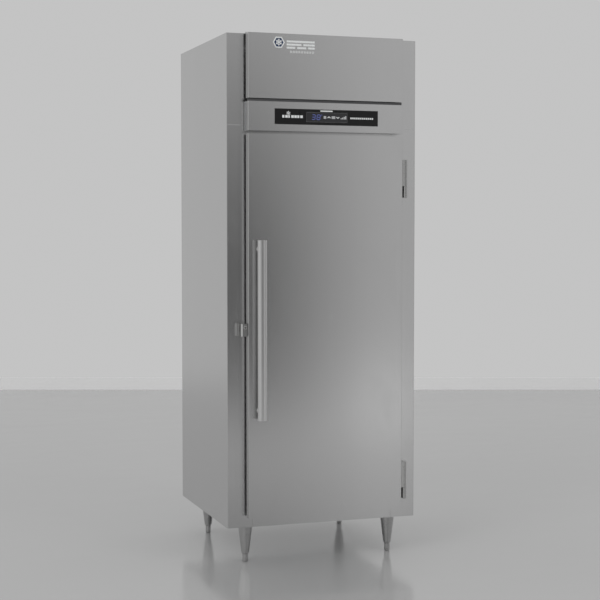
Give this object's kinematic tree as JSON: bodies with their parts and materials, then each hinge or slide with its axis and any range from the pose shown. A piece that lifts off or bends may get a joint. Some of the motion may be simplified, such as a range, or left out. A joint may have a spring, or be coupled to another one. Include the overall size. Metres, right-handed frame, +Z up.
{
  "type": "reach in refrigerator",
  "caption": "Single-section stainless reach-in refrigerator on legs, with a hinged foamed door, a lift-up hood over a top condensing unit, and wire shelves inside.",
  "frame": {"origin": "on the floor, under the middle of the overall box of the machine", "axes": "X to the right of a person facing the door, Y to the back, Z up"},
  "size_m": [0.81, 0.833, 2.134],
  "materials": {
    "outer_steel": "satin",
    "back_sheet": "satin",
    "foam": "matte",
    "liner_metal": "satin",
    "breaker_plastic": "matte",
    "clip_metal": "satin",
    "shelf_coating": "satin",
    "label_film": "satin",
    "display_window": "gloss",
    "key_rubber": "matte",
    "lamp_plastic": "satin",
    "coil_fins": "satin",
    "motor_black": "satin",
    "fan_plastic": "matte",
    "galvanised": "satin",
    "copper_tube": "satin",
    "filter_mesh": "matte",
    "box_paint": "satin",
    "leg_steel": "satin",
    "hinge_steel": "satin",
    "pin_steel": "polished",
    "lock_metal": "satin",
    "gasket_rubber": "matte",
    "handle_steel": "satin"
  },
  "bodies": {
    "cabinet": {"left_side_panel": "outer_steel", "right_side_panel": "outer_steel", "back_panel": "back_sheet", "base_pan": "outer_steel", "top_deck": "back_sheet", "front_header": "outer_steel", "top_cross_rail": "outer_steel", "cabinet_insulation": "foam", "liner_left": "liner_metal", "liner_right": "liner_metal", "liner_back": "liner_metal", "liner_floor": "liner_metal", "liner_ceiling": "liner_metal", "breaker_frame": "breaker_plastic", "shelf_pilasters": "liner_metal", "shelf_clips": "clip_metal", "lower_shelf": "shelf_coating", "middle_shelf": "shelf_coating", "upper_shelf": "shelf_coating", "control_fascia": "outer_steel", "control_label": "label_film", "display_lens": "display_window", "interior_lamp": "lamp_plastic", "evaporator_housing": "liner_metal", "evaporator_coil": "coil_fins", "evaporator_fan_motor": "motor_black", "unit_tray": "galvanised", "compressor": "motor_black", "condenser_coil": "coil_fins", "condenser_fan_shroud": "galvanised", "condenser_fan_motor": "motor_black", "refrigerant_lines": "copper_tube", "air_filter": "filter_mesh", "electrical_box": "box_paint", "rear_grille": "back_sheet", "front_left_leg": "leg_steel", "front_right_leg": "leg_steel", "back_left_leg": "leg_steel", "back_right_leg": "leg_steel", "hinge_frame_leaves": "hinge_steel", "hinge_pins": "pin_steel", "hood_hinge_brackets": "hinge_steel", "lock_housing": "lock_metal"},
    "door": {"door_skin": "outer_steel", "door_core": "foam", "door_liner": "liner_metal", "door_gasket": "gasket_rubber", "door_handle": "handle_steel", "door_hinge_leaves": "hinge_steel"},
    "hood": {"hood_panel": "outer_steel"},
    "evaporator_rotor": {"evaporator_fan": "fan_plastic"},
    "condenser_rotor": {"condenser_fan": "fan_plastic"},
    "key_cylinder": {"lock_cylinder": "lock_metal"},
    "bolt": {"lock_bolt": "lock_metal"},
    "key_up": {"up_key": "key_rubber"},
    "key_down": {"down_key": "key_rubber"},
    "foot_front_left": {"front_left_foot": "leg_steel"},
    "foot_front_right": {"front_right_foot": "leg_steel"},
    "foot_back_left": {"back_left_foot": "leg_steel"},
    "foot_back_right": {"back_right_foot": "leg_steel"}
  },
  "joints": [
    {"name": "door_swing", "type": "hinge", "parent": "cabinet", "child": "door", "pos_m": [0.345, -0.3615, 0.968], "axis": [0, 0, 1], "range_deg": [0, 120]},
    {"name": "hood_lift", "type": "hinge", "parent": "cabinet", "child": "hood", "pos_m": [0, -0.3355, 2.13], "axis": [-1, 0, 0], "range_deg": [0, 95]},
    {"name": "evaporator_fan_spin", "type": "hinge", "parent": "cabinet", "child": "evaporator_rotor", "pos_m": [0, -0.1485, 1.621], "axis": [0, -1, 0], "continuous": true},
    {"name": "condenser_fan_spin", "type": "hinge", "parent": "cabinet", "child": "condenser_rotor", "pos_m": [-0.105, -0.1805, 1.9265], "axis": [0, 1, 0], "continuous": true},
    {"name": "lock_turn", "type": "hinge", "parent": "cabinet", "child": "key_cylinder", "pos_m": [-0.342, -0.3675, 0.965], "axis": [0, -1, 0], "range_deg": [0, 90]},
    {"name": "bolt_slide", "type": "slide", "parent": "cabinet", "child": "bolt", "axis": [1, 0, 0], "range_m": [0, 0.008]},
    {"name": "up_key_press", "type": "slide", "parent": "cabinet", "child": "key_up", "axis": [0, 1, 0], "range_m": [0, 0.0008], "stiffness_N_per_m": 1200},
    {"name": "down_key_press", "type": "slide", "parent": "cabinet", "child": "key_down", "axis": [0, 1, 0], "range_m": [0, 0.0008], "stiffness_N_per_m": 1200},
    {"name": "front_left_foot_level", "type": "slide", "parent": "cabinet", "child": "foot_front_left", "axis": [0, 0, -1], "range_m": [0, 0.02]},
    {"name": "front_right_foot_level", "type": "slide", "parent": "cabinet", "child": "foot_front_right", "axis": [0, 0, -1], "range_m": [0, 0.02]},
    {"name": "back_left_foot_level", "type": "slide", "parent": "cabinet", "child": "foot_back_left", "axis": [0, 0, -1], "range_m": [0, 0.02]},
    {"name": "back_right_foot_level", "type": "slide", "parent": "cabinet", "child": "foot_back_right", "axis": [0, 0, -1], "range_m": [0, 0.02]}
  ],
  "couplings": [
    {"joint": "lock_turn", "follows": "bolt_slide", "rad_per_m": 196.35}
  ]
}
